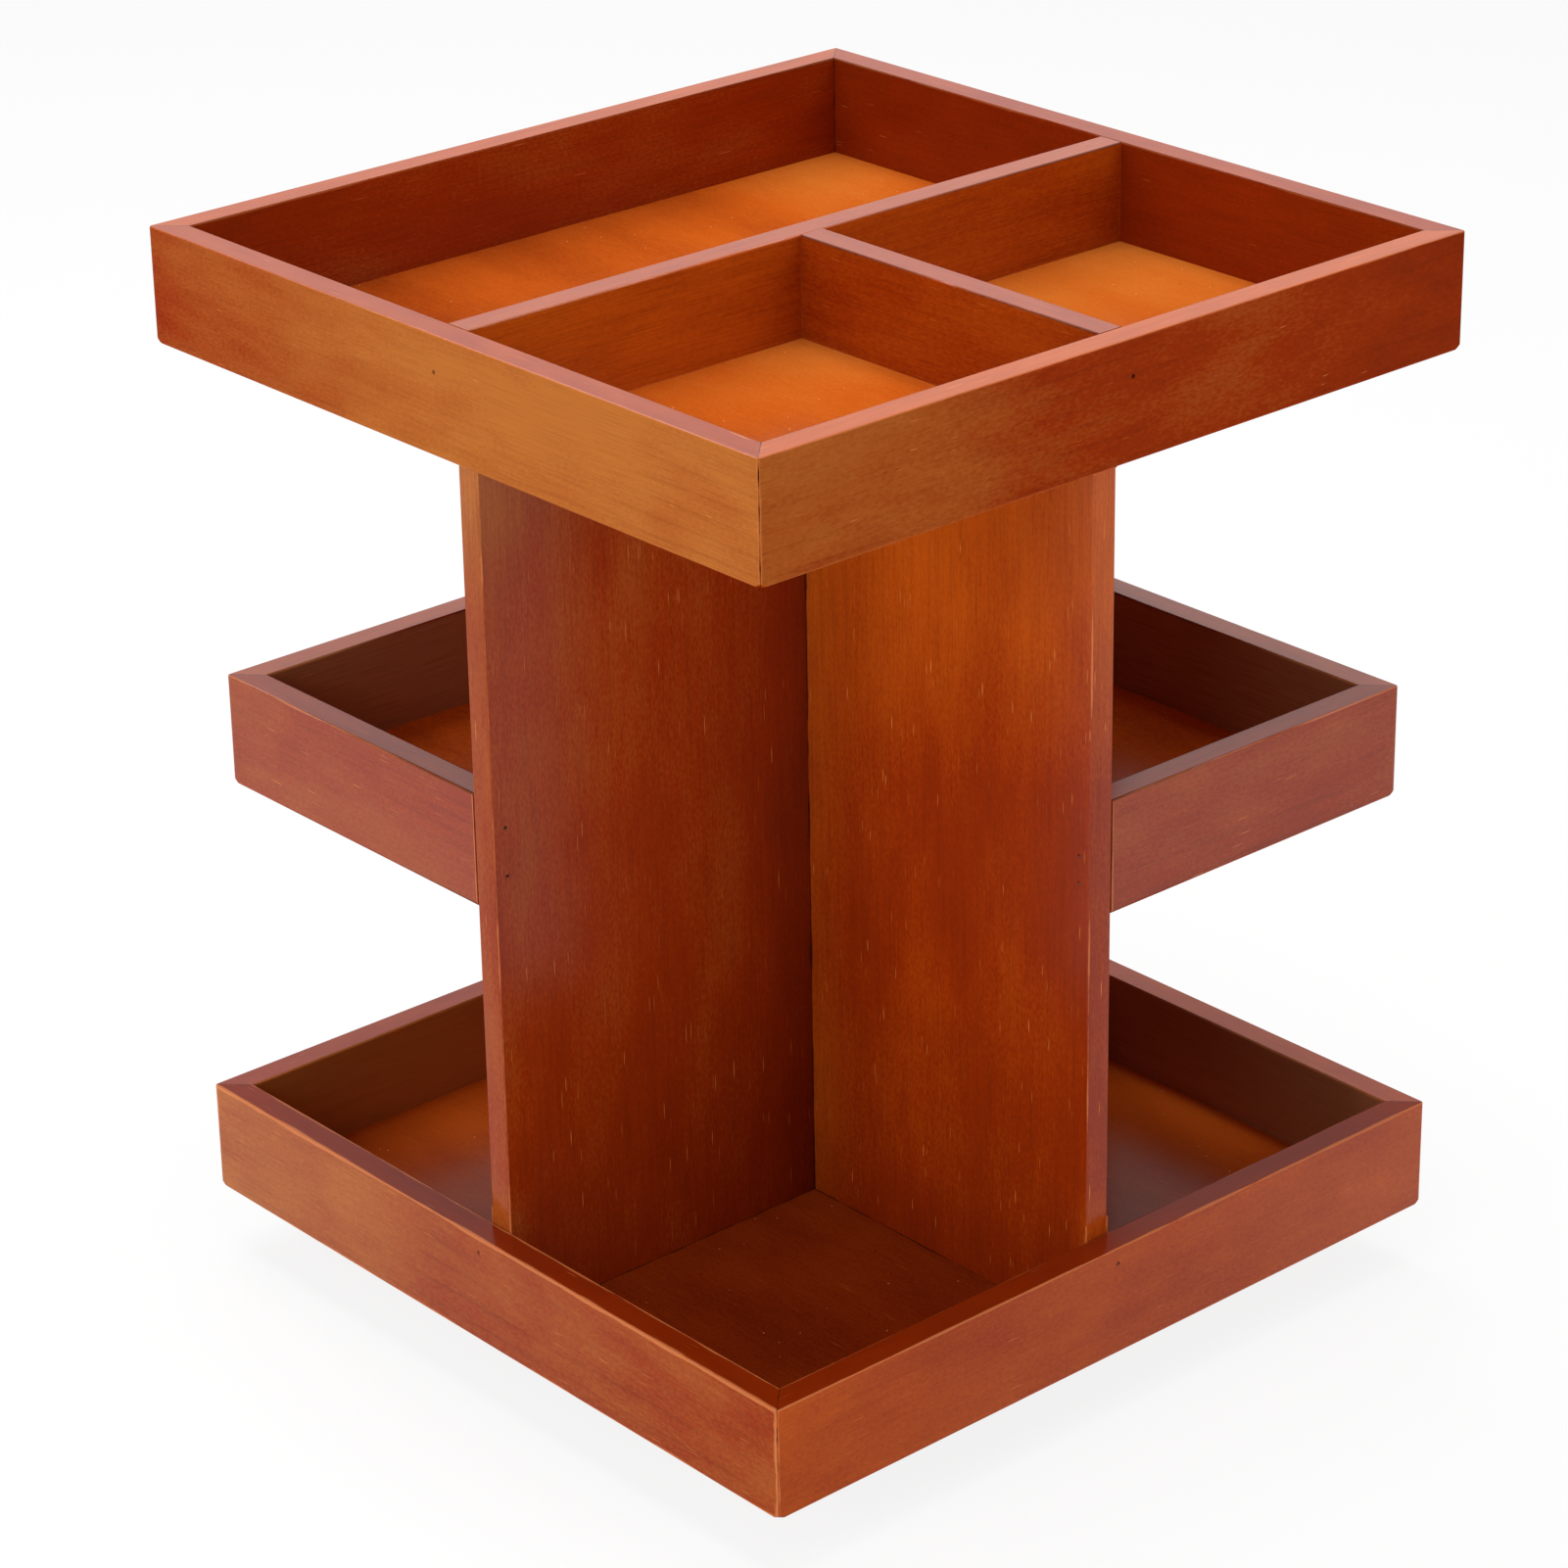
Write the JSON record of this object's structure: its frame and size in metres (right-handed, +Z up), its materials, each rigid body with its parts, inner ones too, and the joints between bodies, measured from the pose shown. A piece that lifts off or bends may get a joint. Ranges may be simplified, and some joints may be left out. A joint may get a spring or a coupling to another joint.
{
  "type": "rotating makeup organizer",
  "caption": "Open square wooden organizer that turns on a flat ball bearing, with a divided top tray, corner trays on crossed panels and a bottom tray.",
  "frame": {"origin": "on the table, under the centre of the four feet, on the turning axis", "axes": "+Z up along the turning axis; -Y is the front side and +X the right side, square to the trays' walls"},
  "size_m": [0.256, 0.256, 0.3215],
  "materials": {
    "stained_wood": "red-brown stain under satin to semi-gloss lacquer",
    "stained_plywood": "orange-brown stain under satin lacquer, thin plywood",
    "base_wood": "red-brown stain under satin lacquer",
    "zinc_plate": "zinc-plated pressed sheet",
    "screw_steel": "zinc-plated",
    "nail_steel": "bright steel, dark in its hole",
    "ball_steel": "polished bearing steel",
    "cage_nylon": "natural nylon",
    "foot_rubber": "matt black"
  },
  "bodies": {
    "base": {"base_board": "base_wood", "base_board_screws": "screw_steel", "rubber_feet": "foot_rubber", "lower_bearing_plate": "zinc_plate"},
    "ball_ring": {"bearing_balls": "ball_steel", "ball_cage": "cage_nylon"},
    "organizer": {"bottom_back_wall": "stained_wood", "bottom_floor": "stained_plywood", "bottom_floor_pins": "nail_steel", "bottom_front_wall": "stained_wood", "bottom_left_wall": "stained_wood", "bottom_right_wall": "stained_wood", "bottom_tray_screws": "screw_steel", "bottom_tray_wall_pins": "nail_steel", "front_back_panel": "stained_wood", "left_right_panel": "stained_wood", "left_tray_floor": "stained_plywood", "left_tray_front_wall": "stained_wood", "left_tray_pins": "nail_steel", "left_tray_side_wall": "stained_wood", "right_tray_back_wall": "stained_wood", "right_tray_floor": "stained_plywood", "right_tray_pins": "nail_steel", "right_tray_side_wall": "stained_wood", "top_back_wall": "stained_wood", "top_floor": "stained_plywood", "top_floor_pins": "nail_steel", "top_front_wall": "stained_wood", "top_left_wall": "stained_wood", "top_long_divider": "stained_wood", "top_right_wall": "stained_wood", "top_short_divider": "stained_wood", "top_tray_divider_pins": "nail_steel", "upper_bearing_plate": "zinc_plate"}
  },
  "joints": [
    {"name": "turntable_turn", "type": "hinge", "parent": "base", "child": "organizer", "pos_m": [0, 0, 0.016], "axis": [0, 0, 1], "continuous": true},
    {"name": "ball_ring_roll", "type": "hinge", "parent": "base", "child": "ball_ring", "pos_m": [0, 0, 0.016], "axis": [0, 0, 1], "continuous": true}
  ],
  "couplings": [
    {"joint": "ball_ring_roll", "follows": "turntable_turn", "ratio": 0.5}
  ]
}
